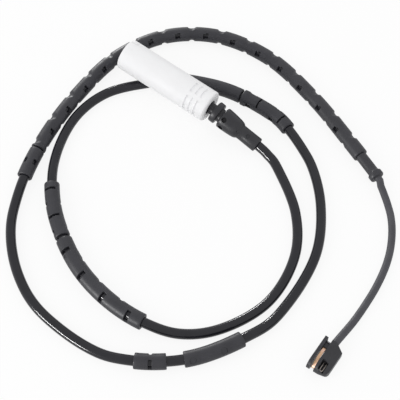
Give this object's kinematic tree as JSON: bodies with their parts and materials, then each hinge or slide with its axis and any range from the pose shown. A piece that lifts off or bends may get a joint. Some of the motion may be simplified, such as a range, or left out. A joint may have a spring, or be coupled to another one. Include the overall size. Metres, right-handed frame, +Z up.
{
  "type": "brake pad wear sensor",
  "caption": "Brake pad wear sensor with a round plug, a long sleeved lead laid in a spiral and a small clip-on head.",
  "frame": {"origin": "the middle of the underside of the box round everything but the two cables, on the surface the sensor lies on", "axes": "+Z up; the plug points towards -X; the head's slot runs along Y, with its cable end towards +Y"},
  "size_m": [0.1935, 0.1933, 0.0241],
  "materials": {
    "cable_black": "gloss",
    "sleeve_rubber": "satin",
    "tail_grey": "matte",
    "plug_white": "satin",
    "head_plastic": "satin",
    "contact_brass": "satin",
    "core_insulation": "matte",
    "loop_copper": "satin",
    "spring_bronze": "satin",
    "pin_steel": "satin"
  },
  "bodies": {
    "root": {"main_cable": "cable_black", "tail_cable": "tail_grey", "lower_left_sleeve": "sleeve_rubber", "upper_left_sleeve": "sleeve_rubber", "upper_plain_sleeve": "sleeve_rubber", "upper_mid_sleeve": "sleeve_rubber", "lower_right_sleeve": "sleeve_rubber", "clip_sleeve": "sleeve_rubber", "outer_left_sleeve": "sleeve_rubber", "long_sleeve": "sleeve_rubber", "transition_collar": "sleeve_rubber", "plug_housing": "plug_white", "pin_carrier": "plug_white", "contact_pin_1": "contact_brass", "contact_pin_2": "contact_brass", "core_wire_1": "core_insulation", "core_wire_2": "core_insulation", "strain_boot": "sleeve_rubber", "head_body": "head_plastic", "wear_loop": "loop_copper", "spring_leaf": "spring_bronze", "retaining_pin": "pin_steel"}
  },
  "joints": []
}
